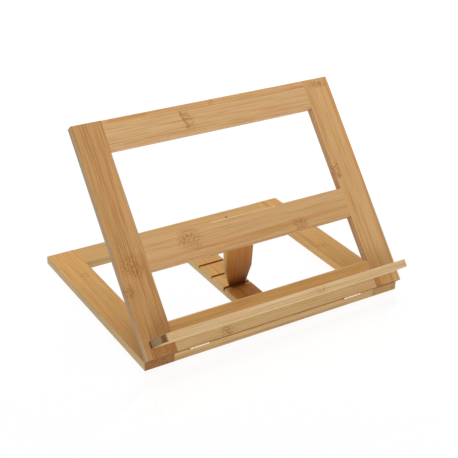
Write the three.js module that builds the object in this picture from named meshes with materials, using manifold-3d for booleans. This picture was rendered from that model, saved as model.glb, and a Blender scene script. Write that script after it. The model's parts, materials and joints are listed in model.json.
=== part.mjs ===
// A folding book stand of bamboo boards, in millimetres, +Z up, +X to its right, front towards -Y.
// A base frame lies on the table. A reading panel turns up from it on two hinges at the front edge,
// and a tapered prop leg, hinged behind the panel, stands in one of the grooves of the centre rail.
import * as THREE from "three";
import { mergeVertices } from "three/addons/utils/BufferGeometryUtils.js";
import Module from "manifold-3d";

const wasm = await Module();
wasm.setup();

// Boards
const standWidth = 340;
const baseDepth = 260;
const boardWidth = 36;
const boardThick = 10;

// Reading panel, measured up its slope from the hinge axis
const panelHeight = 265;
const panelAngle = THREE.MathUtils.degToRad(48.9);
const bottomRailWidth = 34;
const middleRailLow = 89.5;

// Book ledge, square to the panel
const ledgeLow = 10.8;
const ledgeThick = 8.5;
const ledgeReach = 48;
const ledgeInset = 8;
const ledgeCorner = 10;

// Rest grooves sawn across the centre rail
const grooveFirst = 88.7;
const groovePitch = 29.3;
const grooveCount = 4;
const grooveWidth = 3.4;
const grooveDepth = 3;

// Prop leg
const legTaperLength = 23;
const legTipWidth = 21;
const legThinLength = 55;
const legTipThick = 2.2;
const legTipClearance = 0.3;

// Hinges: the axis of the front pair stands just above the base, at its front edge
const knuckleRadius = 1.5;
const knuckleCount = 5;
const pinRadius = 0.7;
const leafThick = 0.9;
const leafCorner = 1.5;
const leafScrewShare = 0.6;
const plateInset = 0.05;
const hingeSet = 0.2;
const hingeLift = 0.53;
const frontHingeX = 103.4;
const frontHingeLength = 24;
const frontLeafDepth = 11;

// The leg's hinge axis lies just inside the upper back edge of the middle rail
const legHingeLength = 30;
const legLeafDepth = 12;
const legAxisBelow = 0.8;
const legAxisInside = 0.6;
const legEndGap = 0.5;
const legTurnRadius = 1.9;
const railTurnRadius = 2.15;

// Fasteners and dowels
const dowelRadius = 2.5;
const dowelLength = 30;
const hingeScrew = { head: 2, shank: 1, sink: 1, length: 7.5, tip: 1.5 };
const ledgeScrew = { head: 3.6, shank: 1.9, sink: 1.9, length: 30, tip: 4 };
const ledgeScrewSpacing = 80;

// The play left between pieces that sit in each other
const play = 0.3;

// How far cutting tools reach past the wood, and mortises past the hinge axis and out of the face
const past = 1;
const mortisePast = 2;
const mortiseMouth = 4;

// Facets round dowels and screws, round knuckles, and along a quarter turn at a corner
const roundFacets = 12;
const knuckleFacets = 16;
const leafCornerFacets = 3;
const ledgeCornerFacets = 6;

const halfWidth = standWidth / 2;
const railEnd = halfWidth - boardWidth;

const bamboo = { roughness: 0.55, metalness: 0 };
const paint = {
  rail: { color: 0xd9a871, ...bamboo },
  stile: { color: 0xcf9a5f, ...bamboo },
  ledge: { color: 0xe0b684, ...bamboo },
  leg: { color: 0xc08a50, ...bamboo },
  dowel: { color: 0xd8b88c, roughness: 0.7, metalness: 0 },
  steel: { color: 0xc9c4ba, roughness: 0.35, metalness: 1 },
};

// Solids: a closed geometry becomes one that can be joined and cut, and comes back as a geometry.
function solidOf(geometry) {
  const bare = geometry.clone();
  bare.deleteAttribute("normal");
  bare.deleteAttribute("uv");
  const merged = mergeVertices(bare, 1e-5);
  const vertProperties = merged.attributes.position.array;
  const triVerts = new Uint32Array(merged.index.array);
  return new wasm.Manifold(new wasm.Mesh({ numProp: 3, vertProperties, triVerts }));
}

function geometryOf(solid) {
  const mesh = solid.getMesh();
  const geometry = new THREE.BufferGeometry();
  geometry.setAttribute("position", new THREE.BufferAttribute(mesh.vertProperties, 3));
  geometry.setIndex(new THREE.BufferAttribute(mesh.triVerts, 1));
  geometry.computeVertexNormals();
  return geometry;
}

function cut(solid, tools) {
  return tools.reduce((rest, tool) => rest.subtract(tool), solid);
}

function place(group, name, solid, look) {
  const mesh = new THREE.Mesh(geometryOf(solid), new THREE.MeshStandardMaterial(look));
  mesh.name = name;
  group.add(mesh);
}

// A block between two opposite corners.
function block([x0, y0, z0], [x1, y1, z1]) {
  const box = new THREE.BoxGeometry(x1 - x0, y1 - y0, z1 - z0);
  return solidOf(box.translate((x0 + x1) / 2, (y0 + y1) / 2, (z0 + z1) / 2));
}

// A round bar centred on a point, along X or Y.
function bar(along, radius, length, [x, y, z], around = roundFacets) {
  const cylinder = new THREE.CylinderGeometry(radius, radius, length, around);
  if (along === "x") cylinder.rotateZ(Math.PI / 2);
  return solidOf(cylinder.translate(x, y, z));
}

// A flat head screw with its head level with z, pointing up (+1) or down (-1); grow widens it to a hole.
function screw({ head, shank, sink, length, tip }, [x, y, z], points, grow = 0) {
  const profile = [
    new THREE.Vector2(0, 0),
    new THREE.Vector2(head + grow, 0),
    new THREE.Vector2(shank + grow, sink),
    new THREE.Vector2(shank + grow, length - tip + grow),
    new THREE.Vector2(0, length + grow),
  ];
  const turned = new THREE.LatheGeometry(profile, roundFacets);
  turned.rotateX(points > 0 ? Math.PI / 2 : -Math.PI / 2);
  return solidOf(turned.translate(x, y, z));
}

// Glued joints: two dowels across each one, side by side at half the board's thickness.
function dowelsAcross(along, name, [x, y, z], spacing) {
  return [-1, 1].map((side) => {
    const offset = (side * spacing) / 2;
    const at = along === "x" ? [x, y + offset, z] : [x + offset, y, z];
    return { along, at, name: `${name}_dowel_${side < 0 ? 1 : 2}` };
  });
}

function dowelHole({ along, at }) {
  return bar(along, dowelRadius + play, dowelLength + 2 * play, at);
}

function placeDowels(group, dowels) {
  for (const { along, at, name } of dowels) {
    place(group, name, bar(along, dowelRadius, dowelLength, at), paint.dowel);
  }
}

// Hinges: the axis runs along X through the origin. A leaf reaches towards +Y (reach 1) or -Y (-1),
// its plate lies from low up to low + leafThick, and it carries every second knuckle from first on.
function knuckleSpan(length, index) {
  const pitch = length / knuckleCount;
  const start = -length / 2 + index * pitch;
  return [start + play / 2, start + pitch - play / 2];
}

function knuckles(length, first, radius, grow) {
  const made = [];
  for (let index = first; index < knuckleCount; index += 2) {
    const [from, to] = knuckleSpan(length, index);
    made.push(bar("x", radius, to - from + 2 * grow, [(from + to) / 2, 0, 0], knuckleFacets));
  }
  return made;
}

function leafPlate(length, depth, reach, low) {
  const half = length / 2 - play / 2;
  const corner = leafCorner;
  const outline = new THREE.Shape();
  outline.moveTo(-half, 0);
  outline.lineTo(half, 0);
  outline.lineTo(half, depth - corner);
  outline.absarc(half - corner, depth - corner, corner, 0, Math.PI / 2);
  outline.lineTo(corner - half, depth);
  outline.absarc(corner - half, depth - corner, corner, Math.PI / 2, Math.PI);
  const plate = new THREE.ExtrudeGeometry(outline, {
    depth: leafThick,
    bevelEnabled: false,
    curveSegments: leafCornerFacets,
  });
  if (reach < 0) plate.rotateZ(Math.PI);
  return solidOf(plate.translate(0, 0, low));
}

function hingeLeaf({ length, depth, reach, low, first, screws }) {
  const others = knuckles(length, 1 - first, knuckleRadius + play, play);
  const plate = cut(leafPlate(length, depth, reach, low), others);
  const curled = knuckles(length, first, knuckleRadius, 0);
  const joined = curled.reduce((whole, knuckle) => whole.add(knuckle), plate);
  const bore = bar("x", pinRadius + play, length + 2 * past, [0, 0, 0]);
  return cut(joined, [bore, ...screws.map(screwHole)]);
}

function screwHole({ kind, at, points }) {
  return screw(kind, at, points, play);
}

// The wood under a leaf: a shallow mortise, open at the edge, and room for the knuckles to turn.
function leafMortise({ length, depth, reach, low }, opens) {
  const half = length / 2 + play;
  const far = reach * (depth + play);
  const near = -reach * mortisePast;
  const floor = opens > 0 ? low - play : low + leafThick + play;
  const mouth = floor + opens * mortiseMouth;
  const from = [-half, Math.min(near, far), Math.min(floor, mouth)];
  const to = [half, Math.max(near, far), Math.max(floor, mouth)];
  const turning = bar("x", knuckleRadius + play, 2 * half, [0, 0, 0], knuckleFacets);
  return block(from, to).add(turning);
}

function leafScrews(length, depth, reach, face, points) {
  const spacing = length / 2;
  const y = reach * depth * leafScrewShare;
  return [-1, 1].map((side) => ({
    kind: hingeScrew,
    at: [(side * spacing) / 2, y, face],
    points,
  }));
}

function moved(solid, x, y, z) {
  return solid.translate([x, y, z]);
}

function placeHingeScrews(group, name, screws, x, y, z) {
  screws.forEach(({ kind, at, points }, index) => {
    const made = moved(screw(kind, at, points), x, y, z);
    place(group, `${name}_screw_${index + 1}`, made, paint.steel);
  });
}

function pin(length) {
  return bar("x", pinRadius, length, [0, 0, 0]);
}

// The two leaves of a front hinge. Closed, the base's plate is under the axis and the panel's above it.
const plateOffset = knuckleRadius - plateInset;
const frontLeaf = { length: frontHingeLength, depth: frontLeafDepth, reach: 1 };
const baseLeaf = {
  ...frontLeaf,
  low: -plateOffset,
  first: 0,
  screws: leafScrews(frontHingeLength, frontLeafDepth, 1, leafThick - plateOffset, -1),
};
const panelLeaf = {
  ...frontLeaf,
  low: plateOffset - leafThick,
  first: 1,
  screws: leafScrews(frontHingeLength, frontLeafDepth, 1, plateOffset - leafThick, 1),
};

// The two leaves of the leg's hinge lie in one plane through the axis when the leg is folded away.
const legHinge = { length: legHingeLength, depth: legLeafDepth, low: -leafThick / 2 };
const railLeaf = {
  ...legHinge,
  reach: -1,
  first: 0,
  screws: leafScrews(legHingeLength, legLeafDepth, -1, -leafThick / 2, 1),
};
const legLeaf = {
  ...legHinge,
  reach: 1,
  first: 1,
  screws: leafScrews(legHingeLength, legLeafDepth, 1, -leafThick / 2, 1),
};

const frontSides = { left: -frontHingeX, right: frontHingeX };

// Base frame, with its front edge at y = 0 and its underside at z = 0.
function makeBase() {
  const group = new THREE.Group();
  const middle = boardThick / 2;
  const backStart = baseDepth - boardWidth;
  const axisZ = boardThick + hingeLift;
  const dowels = [
    ...dowelsAcross("x", "base_front_left", [-railEnd, boardWidth / 2, middle], boardWidth / 2),
    ...dowelsAcross("x", "base_front_right", [railEnd, boardWidth / 2, middle], boardWidth / 2),
    ...dowelsAcross("x", "base_back_left", [-railEnd, backStart + boardWidth / 2, middle], boardWidth / 2),
    ...dowelsAcross("x", "base_back_right", [railEnd, backStart + boardWidth / 2, middle], boardWidth / 2),
    ...dowelsAcross("y", "base_center_front", [0, boardWidth, middle], boardWidth / 2),
    ...dowelsAcross("y", "base_center_back", [0, backStart, middle], boardWidth / 2),
  ];
  const dowelHoles = dowels.map(dowelHole);
  const hingeHoles = Object.values(frontSides).flatMap((x) => [
    moved(leafMortise(baseLeaf, 1), x, hingeSet, axisZ),
    ...baseLeaf.screws.map((one) => moved(screwHole(one), x, hingeSet, axisZ)),
  ]);
  const board = (name, [x0, x1], [y0, y1], tools, look) => {
    const plank = block([x0, y0, 0], [x1, y1, boardThick]);
    place(group, name, cut(plank, tools), look);
  };
  const grooves = [];
  for (let index = 0; index < grooveCount; index += 1) {
    const y = grooveFirst + index * groovePitch;
    const from = [-boardWidth / 2 - past, y - grooveWidth / 2, boardThick - grooveDepth];
    grooves.push(block(from, [boardWidth / 2 + past, y + grooveWidth / 2, boardThick + past]));
  }
  board("base_left_rail", [-halfWidth, -railEnd], [0, baseDepth], dowelHoles, paint.rail);
  board("base_right_rail", [railEnd, halfWidth], [0, baseDepth], dowelHoles, paint.rail);
  board("base_front_rail", [-railEnd, railEnd], [0, boardWidth], [...dowelHoles, ...hingeHoles], paint.rail);
  board("base_back_rail", [-railEnd, railEnd], [backStart, baseDepth], dowelHoles, paint.rail);
  const centerSpan = [boardWidth, backStart];
  const centerTools = [...dowelHoles, ...grooves];
  board("base_center_rail", [-boardWidth / 2, boardWidth / 2], centerSpan, centerTools, paint.rail);
  placeDowels(group, dowels);
  for (const [side, x] of Object.entries(frontSides)) {
    const name = `${side}_hinge_base`;
    place(group, `${name}_leaf`, moved(hingeLeaf(baseLeaf), x, hingeSet, axisZ), paint.steel);
    place(group, `${side}_hinge_pin`, moved(pin(frontHingeLength), x, hingeSet, axisZ), paint.steel);
    placeHingeScrews(group, name, baseLeaf.screws, x, hingeSet, axisZ);
  }
  return group;
}

// Prop leg, folded flat along +Y from its hinge axis. Its back, seen when it stands, is the +Z face.
function makeLeg(length) {
  const group = new THREE.Group();
  const start = legAxisBelow + legEndGap;
  const low = -legAxisInside;
  const high = low + boardThick;
  const side = new THREE.Shape();
  side.moveTo(start, low);
  side.lineTo(length, low);
  side.lineTo(length, low + legTipThick);
  side.lineTo(length - legThinLength, high);
  side.lineTo(start, high);
  const across = { depth: boardWidth, bevelEnabled: false };
  const sideCut = new THREE.ExtrudeGeometry(side, across).translate(0, 0, -boardWidth / 2);
  // The profile's x runs along the leg and its y through the board's thickness.
  sideCut.applyMatrix4(new THREE.Matrix4().makeBasis(
    new THREE.Vector3(0, 1, 0),
    new THREE.Vector3(0, 0, 1),
    new THREE.Vector3(1, 0, 0),
  ));
  const face = new THREE.Shape();
  face.moveTo(-boardWidth / 2, start - past);
  face.lineTo(boardWidth / 2, start - past);
  face.lineTo(boardWidth / 2, length - legTaperLength);
  face.lineTo(legTipWidth / 2, length + past);
  face.lineTo(-legTipWidth / 2, length + past);
  face.lineTo(-boardWidth / 2, length - legTaperLength);
  const faceCut = new THREE.ExtrudeGeometry(face, { depth: boardThick + 2 * past, bevelEnabled: false });
  const wood = solidOf(sideCut).intersect(solidOf(faceCut.translate(0, 0, low - past)));
  const turning = bar("x", legTurnRadius, boardWidth + 2 * past, [0, 0, 0], knuckleFacets);
  const tools = [leafMortise(legLeaf, -1), turning, ...legLeaf.screws.map(screwHole)];
  place(group, "prop_leg", cut(wood, tools), paint.leg);
  place(group, "leg_hinge_leg_leaf", hingeLeaf(legLeaf), paint.steel);
  placeHingeScrews(group, "leg_hinge_leg", legLeaf.screws, 0, 0, 0);
  return group;
}

// Reading panel, lying flat behind its hinge axis: Y runs up the slope, Z out of its front.
const backFace = hingeLift;
const frontFace = backFace + boardThick;
const middleRailHigh = middleRailLow + boardWidth;
const topRailLow = panelHeight - boardWidth;
const legAxis = { y: middleRailHigh - legAxisBelow, z: backFace + legAxisInside };

function makeLedge(group, holes) {
  const half = halfWidth - ledgeInset;
  const back = frontFace + play;
  const front = backFace + ledgeReach;
  const plan = new THREE.Shape();
  plan.moveTo(-half, back);
  plan.lineTo(half, back);
  plan.lineTo(half, front - ledgeCorner);
  plan.absarc(half - ledgeCorner, front - ledgeCorner, ledgeCorner, 0, Math.PI / 2);
  plan.lineTo(ledgeCorner - half, front);
  plan.absarc(ledgeCorner - half, front - ledgeCorner, ledgeCorner, Math.PI / 2, Math.PI);
  const shelf = new THREE.ExtrudeGeometry(plan, {
    depth: ledgeThick,
    bevelEnabled: false,
    curveSegments: ledgeCornerFacets,
  });
  shelf.rotateX(Math.PI / 2).translate(0, ledgeLow + ledgeThick, 0);
  place(group, "ledge", cut(solidOf(shelf), holes), paint.ledge);
}

function makePanel() {
  const group = new THREE.Group();
  const middle = (backFace + frontFace) / 2;
  const rails = {
    bottom: [0, bottomRailWidth],
    middle: [middleRailLow, middleRailHigh],
    top: [topRailLow, panelHeight],
  };
  const dowels = Object.entries(rails).flatMap(([name, [low, high]]) =>
    Object.entries({ left: -railEnd, right: railEnd }).flatMap(([side, x]) =>
      dowelsAcross("x", `panel_${name}_${side}`, [x, (low + high) / 2, middle], (high - low) / 2),
    ),
  );
  const dowelHoles = dowels.map(dowelHole);
  const ledgeScrews = [-1, 0, 1].map((step) => ({
    kind: ledgeScrew,
    at: [step * ledgeScrewSpacing, ledgeLow + ledgeThick / 2, backFace],
    points: 1,
  }));
  const ledgeHoles = ledgeScrews.map(screwHole);
  const hingeHoles = Object.values(frontSides).flatMap((x) => [
    moved(leafMortise(panelLeaf, -1), x, 0, 0),
    ...panelLeaf.screws.map((one) => moved(screwHole(one), x, 0, 0)),
  ]);
  const legRoom = bar("x", railTurnRadius, boardWidth + 2 * past, [0, 0, 0], knuckleFacets);
  const legHoles = [leafMortise(railLeaf, -1), legRoom, ...railLeaf.screws.map(screwHole)];
  const toolsOf = {
    bottom: [...dowelHoles, ...hingeHoles, ...ledgeHoles],
    middle: [...dowelHoles, ...legHoles.map((hole) => moved(hole, 0, legAxis.y, legAxis.z))],
    top: dowelHoles,
  };
  for (const [side, [x0, x1]] of Object.entries({
    left: [-halfWidth, -railEnd],
    right: [railEnd, halfWidth],
  })) {
    const stile = block([x0, 0, backFace], [x1, panelHeight, frontFace]);
    place(group, `panel_${side}_stile`, cut(stile, dowelHoles), paint.stile);
  }
  for (const [name, [low, high]] of Object.entries(rails)) {
    const rail = block([-railEnd, low, backFace], [railEnd, high, frontFace]);
    place(group, `panel_${name}_rail`, cut(rail, toolsOf[name]), paint.rail);
  }
  placeDowels(group, dowels);
  makeLedge(group, ledgeHoles);
  ledgeScrews.forEach(({ kind, at, points }, index) => {
    place(group, `ledge_screw_${index + 1}`, screw(kind, at, points), paint.steel);
  });
  for (const [side, x] of Object.entries(frontSides)) {
    const name = `${side}_hinge_panel`;
    place(group, `${name}_leaf`, moved(hingeLeaf(panelLeaf), x, 0, 0), paint.steel);
    placeHingeScrews(group, name, panelLeaf.screws, x, 0, 0);
  }
  const { y, z } = legAxis;
  place(group, "leg_hinge_rail_leaf", moved(hingeLeaf(railLeaf), 0, y, z), paint.steel);
  place(group, "leg_hinge_pin", moved(pin(legHingeLength), 0, y, z), paint.steel);
  placeHingeScrews(group, "leg_hinge_rail", railLeaf.screws, 0, y, z);
  return group;
}

// The stand as it is used: the panel at its steepest rest, the leg's tip over the first groove.
function upSlope(y, z) {
  const turned = new THREE.Vector2(y, z).rotateAround(new THREE.Vector2(0, 0), panelAngle);
  return turned.add(new THREE.Vector2(hingeSet, boardThick + hingeLift));
}

const pivot = upSlope(legAxis.y, legAxis.z);
const tipMiddle = legTipThick / 2 - legAxisInside;
const drop = pivot.y - boardThick - legTipClearance;
const legLean = Math.atan2(grooveFirst - pivot.x, drop) - tipMiddle / drop;
const legLength = (drop - legAxisInside * Math.sin(legLean)) / Math.cos(legLean);

const leg = makeLeg(legLength);
leg.position.set(0, legAxis.y, legAxis.z);
leg.rotation.x = legLean - Math.PI / 2 - panelAngle;

const panel = makePanel();
panel.position.set(0, hingeSet, boardThick + hingeLift);
panel.rotation.x = panelAngle;
panel.add(leg);

const stand = new THREE.Group();
stand.add(makeBase(), panel);
const front = upSlope(ledgeLow, backFace + ledgeReach).x;
stand.position.y = -(front + baseDepth) / 2;

export default stand;
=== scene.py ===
import json
import math
import bmesh
import bpy
from mathutils import Matrix, Vector


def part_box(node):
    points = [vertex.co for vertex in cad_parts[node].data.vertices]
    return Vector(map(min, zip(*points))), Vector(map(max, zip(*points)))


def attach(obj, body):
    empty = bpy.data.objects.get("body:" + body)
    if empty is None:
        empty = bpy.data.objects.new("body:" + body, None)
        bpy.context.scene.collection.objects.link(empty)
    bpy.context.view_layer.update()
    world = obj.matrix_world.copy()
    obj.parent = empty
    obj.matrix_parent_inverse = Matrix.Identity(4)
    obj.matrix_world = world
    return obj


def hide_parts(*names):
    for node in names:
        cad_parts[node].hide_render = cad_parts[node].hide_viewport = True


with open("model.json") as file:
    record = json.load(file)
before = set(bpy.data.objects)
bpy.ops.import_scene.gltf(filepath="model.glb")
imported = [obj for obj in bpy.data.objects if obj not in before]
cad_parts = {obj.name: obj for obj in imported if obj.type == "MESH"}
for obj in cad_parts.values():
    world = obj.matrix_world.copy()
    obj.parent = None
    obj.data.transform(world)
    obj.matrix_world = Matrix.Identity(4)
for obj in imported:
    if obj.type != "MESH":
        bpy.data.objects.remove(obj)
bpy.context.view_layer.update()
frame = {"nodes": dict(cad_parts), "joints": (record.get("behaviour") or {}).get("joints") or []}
mm = 0.001

# A folding bamboo book stand: base frame, reading panel, ledge, prop leg and three small hinges.
# Each group of boards has a place of its own, in which x runs across, y along the board's face
# and z through its thickness. Play is the clearance round knuckles, pins and screws.
stand = dict(
    halfWidth=170 * mm, board=36 * mm, thick=10 * mm, depth=260 * mm,
    panelHeight=265 * mm, panelAngle=48.9, legFold=134.7589,
    panelWindows=((34 * mm, 89.5 * mm), (125.5 * mm, 229 * mm)),
    leafGap=0.53 * mm, play=0.3 * mm)
railEnd = stand["halfWidth"] - stand["board"]
axisAt = {joint["name"]: Vector(joint["pos_m"]) for joint in frame["joints"]}


def turnedAt(point, degrees):
    return Matrix.Translation(point) @ Matrix.Rotation(math.radians(degrees), 4, "X")


basePlace = Matrix.Translation((0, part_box("base_front_rail")[0].y, 0))
panelPlace = turnedAt(axisAt["panel_tilt"], stand["panelAngle"])
legPlace = turnedAt(axisAt["leg_swing"], stand["panelAngle"] - stand["legFold"])
panelBack = stand["leafGap"]
panelFront = panelBack + stand["thick"]


# Node maths: a wire is a socket that can be added, multiplied and so on
class Wire:
    def __init__(self, tree, socket=None):
        self.tree = tree
        self.socket = socket

    def node(self, kind, settings=None, inputs=None, output=0):
        # output is an index or a name, or None for a list of all the node's outputs
        made = self.tree.nodes.new(kind)
        for name, value in (settings or {}).items():
            if name == "stops":
                setStops(made.color_ramp, value)
            else:
                setattr(made, name, value)
        setInputs(made, inputs or {})
        if output is None:
            return [Wire(self.tree, socket) for socket in made.outputs]
        return Wire(self.tree, made.outputs[output])

    def maths(self, operation, first, second=0.0):
        return self.node("ShaderNodeMath", {"operation": operation}, {0: first, 1: second})

    def __add__(self, other):
        return self.maths("ADD", self, other)

    def __radd__(self, other):
        return self.maths("ADD", other, self)

    def __sub__(self, other):
        return self.maths("SUBTRACT", self, other)

    def __rsub__(self, other):
        return self.maths("SUBTRACT", other, self)

    def __mul__(self, other):
        return self.maths("MULTIPLY", self, other)

    def __rmul__(self, other):
        return self.maths("MULTIPLY", other, self)

    def __truediv__(self, other):
        return self.maths("DIVIDE", self, other)

    def __gt__(self, other):
        return self.maths("GREATER_THAN", self, other)

    def __abs__(self):
        return self.maths("ABSOLUTE", self)

    def floor(self):
        return self.maths("FLOOR", self)

    def fraction(self):
        return self.maths("FRACT", self)

    def root(self):
        return self.maths("SQRT", self)

    def most(self, other):
        return self.maths("MAXIMUM", self, other)

    def fade(self, low, high, start=0.0, end=1.0):
        # start up to low, end from high on, and a soft step between
        return self.node("ShaderNodeMapRange", {"interpolation_type": "SMOOTHSTEP"}, {
            "Value": self, "From Min": low, "From Max": high, "To Min": start, "To Max": end})


def setInputs(node, inputs):
    # a wire is linked, or each wire of a list, and any other value is set on the socket itself
    for name, value in inputs.items():
        wires = value if isinstance(value, list) else [value]
        if isinstance(wires[0], Wire):
            for wire in wires:
                wire.tree.links.new(wire.socket, node.inputs[name])
        else:
            node.inputs[name].default_value = value


def setStops(ramp, stops):
    while len(ramp.elements) > 1:
        ramp.elements.remove(ramp.elements[-1])
    ramp.elements[0].position, ramp.elements[0].color = stops[0][0], (*stops[0][1], 1)
    for position, colour in stops[1:]:
        ramp.elements.new(position).color = (*colour, 1)


def tone(red, green, blue):
    # a screen colour of 0 to 255 as the linear colour that a shader takes
    return tuple(((c / 255 + 0.055) / 1.055) ** 2.4 for c in (red, green, blue))


def shaded(colour, factors):
    return tuple(c * f for c, f in zip(colour, factors))


def anyWire(*values):
    return next(value for value in values if isinstance(value, Wire))


def blended(mask, under, over, way="MIX"):
    # mask is a wire or a number, and the two colours are wires or triples
    def colour(value):
        return value if isinstance(value, Wire) else (*value, 1)
    settings = {"data_type": "RGBA", "blend_type": way}
    inputs = {"Factor": mask, "A": colour(under), "B": colour(over)}
    return anyWire(mask, under, over).node("ShaderNodeMix", settings, inputs, output="Result")


def combined(x, y, z):
    return anyWire(x, y, z).node("ShaderNodeCombineXYZ", None, {0: x, 1: y, 2: z})


def noise(vector, detail=2.0, roughness=0.5):
    return vector.node("ShaderNodeTexNoise", None, {
        "Vector": vector, "Scale": 1.0, "Detail": detail, "Roughness": roughness})


def cells(vector):
    return vector.node("ShaderNodeTexVoronoi", {"feature": "F1"}, {"Vector": vector, "Scale": 1.0})


def bumped(height, strength, distance):
    inputs = {"Strength": strength, "Distance": distance, "Height": height}
    return height.node("ShaderNodeBump", None, inputs)


def newMaterial(name):
    # a material's shader, and a wire with the place of each point on the object
    material = bpy.data.materials.new(name)
    material.use_nodes = True
    tree = material.node_tree
    shader = tree.nodes["Principled BSDF"]
    return material, shader, Wire(tree).node("ShaderNodeTexCoord", output="Object")


# Bamboo: flat strips pressed into boards, with long fibres and dotted end grain. A triple of
# factors, and a tint, multiplies the tone under it. A scale is how often a noise repeats in a
# metre, along the fibres and across them, and how far it is shifted along. What a board's own
# look gives, such as the painted light tint for its sides or its marks, takes the place of the
# value here. Where a span has four numbers, they are a fade's two places and its values there.
bamboo = dict(
    marks=(), stainsAndPaintedLight=(), contrast=1.0,
    strip=22 * mm, lowerShift=0.43, lowerStep=7, stripSlip=0.37, seamWidth=0.3 * mm, stripContrast=0.25,
    scales=dict(
        wide=(2.2, 85, 0), medium=(9, 640, 0), fine=(24, 1200, 0), hue=(9, 190, 40), dashes=(90, 1500, 0)),
    shares=dict(wide=0.10, medium=0.45, fine=0.45), fineRoughness=0.6, hueDetail=3.0, fibreContrast=4.0,
    deep=(0.83, 0.68, 0.48), pale=(1.10, 1.13, 1.22), rampEnds=(0.05, 0.95),
    clouds=dict(
        orange=dict(factors=(1.03, 0.90, 0.76), span=(0.60, 0.74, 0, 1), strength=0.7),
        pink=dict(factors=(1.05, 1.00, 1.03), span=(0.50, 0.60, 0, 1), strength=0.6),
        olive=dict(factors=(0.97, 0.99, 0.87), span=(0.36, 0.48, 1, 0), strength=0.8)),
    seam=(0.66, 0.50, 0.34), seamStrength=0.28, dashWidth=(0.1, 0.3), dashStrength=0.25,
    # the long sides get painted light: a tint that makes them paler and greyer, like a sheen
    sideLightTint=(0.80, 0.95, 1.15), sideLightReach=(0.2 * mm, 0.05 * mm), faceReach=(0.3 * mm, 0.08 * mm),
    endTint=(0.72, 0.52, 0.36), endReach=0.1 * mm, endSharp=0.4, endStrips=0.15, endFibres=0.2,
    dotTint=(0.50, 0.42, 0.36), endScale=430, endHoles=(0.2, 0.46), dotShare=0.9,
    relief=dict(streaks=0.7, fine=0.4, seams=0.5, dashes=0.3, dots=0.8, line=0.4),
    roughness=0.5, fibreRoughness=0.22, endRoughness=0.2, coat=0.05, bump=0.12 * mm, bumpStrength=0.35)

# Growth nodes: a soft cloud with dark and light dots, and a bowed line on one side of it
growth = dict(
    factors=(0.86, 0.75, 0.63), dark=(0.58, 0.38, 0.21), light=(1.24, 1.26, 1.26), lightShare=0.8,
    driftScale=240, driftAlong=1.3, driftAcross=0.6, cloud=(0.45, 1.3, 1, 0),
    lineAt=0.8, lineBow=0.2, lineWidth=(0.08, 0.42, 1, 0), lineReach=(0.8, 1.05, 1, 0),
    rippleScale=(300, 240, 100), rippleReach=2.4 * mm, seedStep=5.3,
    dotScale=(330, 880, 300), darkDots=(0.34, 0.48, 1, 0), lightDots=(0.53, 0.66, 0, 1))

# Painted shade on the rest grooves' walls and floors, a little lighter at their mouths
grooveShade = dict(
    shadeTone=tone(184, 104, 26), strength=0.85, lip=(0.3 * mm, 0.7 * mm), mouth=(0.3 * mm, 0.1 * mm),
    mouthShare=0.75, floorSoft=0.2 * mm, ends=(1.2 * mm, 0.6 * mm), rowSoft=0.01)


def inMetres(*values):
    return tuple(value * mm for value in values)


def mark(at, half, strength, slope=0.0, line=0.0):
    # a growth node, at a place along and across its board in millimetres from the board's middle,
    # and half its length and width
    return dict(at=inMetres(*at), half=inMetres(*half), strength=strength, slope=slope, line=line)


def stainAndPaintedLight(along, across, tint, soft, layer="all", dots=0):
    # a patch of another tone, its spans along and across the board in millimetres from the middle;
    # it is on all the board, on its upper half or on its edge, not the wide faces
    # patches serve for real stains and tone bars, and also for painted shade and painted highlights
    return dict(
        along=inMetres(*along), across=inMetres(*across), tint=tint, soft=soft * mm, layer=layer, dots=dots)


def within(position, span, soft):
    low, high = span
    return position.fade(low - soft, low + soft) * position.fade(high - soft, high + soft, 1, 0)


def nearEdge(position, half, outer, inner):
    return abs(position).fade(half - outer, half - inner)


def growthNode(along, across, spot, seed):
    (atAlong, atAcross), (halfLength, halfWidth) = spot["at"], spot["half"]
    offset = across - atAcross
    scale = growth["driftScale"]
    drift = noise(combined(along * scale + seed, offset * scale, seed)) - 0.5
    u = (along - atAlong + offset * spot["slope"]) / halfLength + drift * growth["driftAlong"]
    v = offset / halfWidth + drift * growth["driftAcross"]
    cloud = (u * u + v * v).root().fade(*growth["cloud"])
    line = abs(u + growth["lineAt"] - v * v * growth["lineBow"]).fade(*growth["lineWidth"])
    return cloud, line * abs(v).fade(*growth["lineReach"])


def growthNoise(scale, along, across, through, seed):
    x, y, z = scale
    return noise(combined(along * x, across * y, through * z + seed), detail=1.0)


def fibrePattern(along, across, flow, through, look):
    # strips in two layers whose joints are staggered, and streaks that start afresh in each strip
    lower = 1.0 - (through > 0.0)
    strip = across / bamboo["strip"] + look["stripShift"] + lower * bamboo["lowerShift"]
    number = strip.floor() + lower * bamboo["lowerStep"] + look["seed"]
    stripTone = number.node("ShaderNodeTexWhiteNoise", {"noise_dimensions": "1D"}, {"W": number})
    toEdge = (0.5 - abs(strip.fraction() - 0.5)) * bamboo["strip"]
    seamWidth = bamboo["seamWidth"]
    seams = toEdge.fade(0, seamWidth, 1, 0).most(abs(through).fade(0, seamWidth, 1, 0))
    slip = along + number * bamboo["stripSlip"]

    def stretched(kind):
        perAlong, perAcross, shift = bamboo["scales"][kind]
        return combined(slip * perAlong + shift, flow * perAcross, through * perAcross)

    wide, medium = noise(stretched("wide")), noise(stretched("medium"))
    fine = noise(stretched("fine"), roughness=bamboo["fineRoughness"])
    shares = bamboo["shares"]
    return dict(
        lower=lower, stripTone=stripTone, seams=seams, medium=medium, fine=fine,
        hue=noise(stretched("hue"), detail=bamboo["hueDetail"]),
        dashes=cells(stretched("dashes")).fade(*bamboo["dashWidth"], 1, 0),
        streaks=wide * shares["wide"] + medium * shares["medium"] + fine * shares["fine"])


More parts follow.
